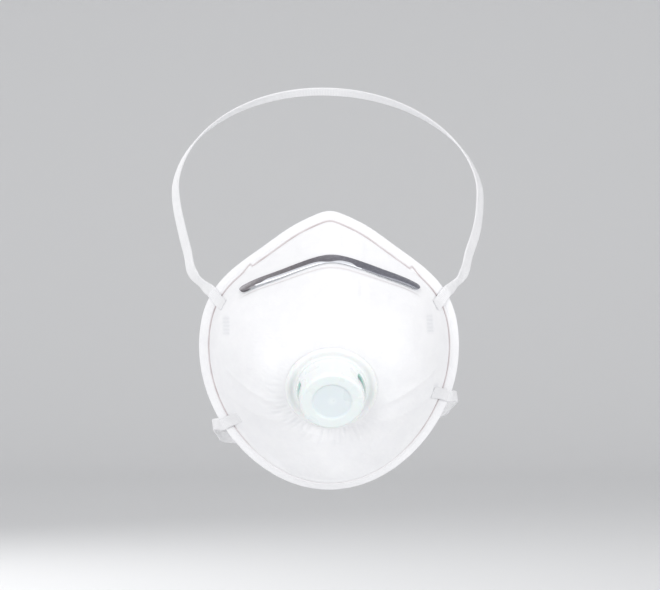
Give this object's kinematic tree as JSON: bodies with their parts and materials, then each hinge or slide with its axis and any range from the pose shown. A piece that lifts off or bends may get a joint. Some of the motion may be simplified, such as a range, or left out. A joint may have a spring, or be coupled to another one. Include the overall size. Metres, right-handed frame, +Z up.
{
  "type": "disposable dust mask",
  "caption": "Cup-shaped disposable dust mask with moulded plies, a metal nose clip, an exhalation valve and elastic head straps, in its worn shape.",
  "frame": {"origin": "centre of the face seal, at its widest level between the cheeks", "axes": "+Z up, +Y towards the wearer's face, so the mask looks along -Y; +X to the right of someone facing the mask"},
  "size_m": [0.1608, 0.2487, 0.2073],
  "materials": {
    "cover_web": "matte white bonded web",
    "filter_web": "soft white melt-blown web",
    "shell_web": "stiff moulded white web",
    "lining_web": "smooth white web",
    "clip_metal": "satin dark grey",
    "clip_tape": "translucent",
    "foam": "open-cell, light grey",
    "valve_plastic": "satin white",
    "cap_plastic": "smooth, faintly mint white",
    "diaphragm_rubber": "soft, pale mint",
    "elastic": "ribbed white knitted elastic"
  },
  "bodies": {
    "cup": {"outer_cover": "cover_web", "filter_web": "filter_web", "support_shell": "shell_web", "inner_lining": "lining_web", "nose_clip": "clip_metal", "nose_clip_tape": "clip_tape", "nose_foam": "foam", "valve_seat": "valve_plastic", "valve_cover": "cap_plastic", "valve_retainer_ring": "valve_plastic", "upper_strap_left_end": "elastic", "upper_strap_right_end": "elastic", "lower_strap_left_end": "elastic", "lower_strap_right_end": "elastic"},
    "diaphragm": {"valve_diaphragm": "diaphragm_rubber"},
    "upper_strap": {"upper_strap": "elastic"},
    "lower_strap": {"lower_strap": "elastic"}
  },
  "joints": [
    {"name": "diaphragm_lift", "type": "slide", "parent": "cup", "child": "diaphragm", "axis": [0, -0.8746, -0.4848], "range_m": [0, 0.0012], "stiffness_N_per_m": 10, "springref_m": -0.0005},
    {"name": "upper_strap_swing", "type": "hinge", "parent": "cup", "child": "upper_strap", "pos_m": [0, 0.00081, 0.027], "axis": [1, 0, 0], "range_deg": [0, 90]},
    {"name": "lower_strap_swing", "type": "hinge", "parent": "cup", "child": "lower_strap", "pos_m": [0.00301, 0.003, -0.0312], "axis": [0.9934, 0, 0.1143], "range_deg": [-90, 0]}
  ]
}
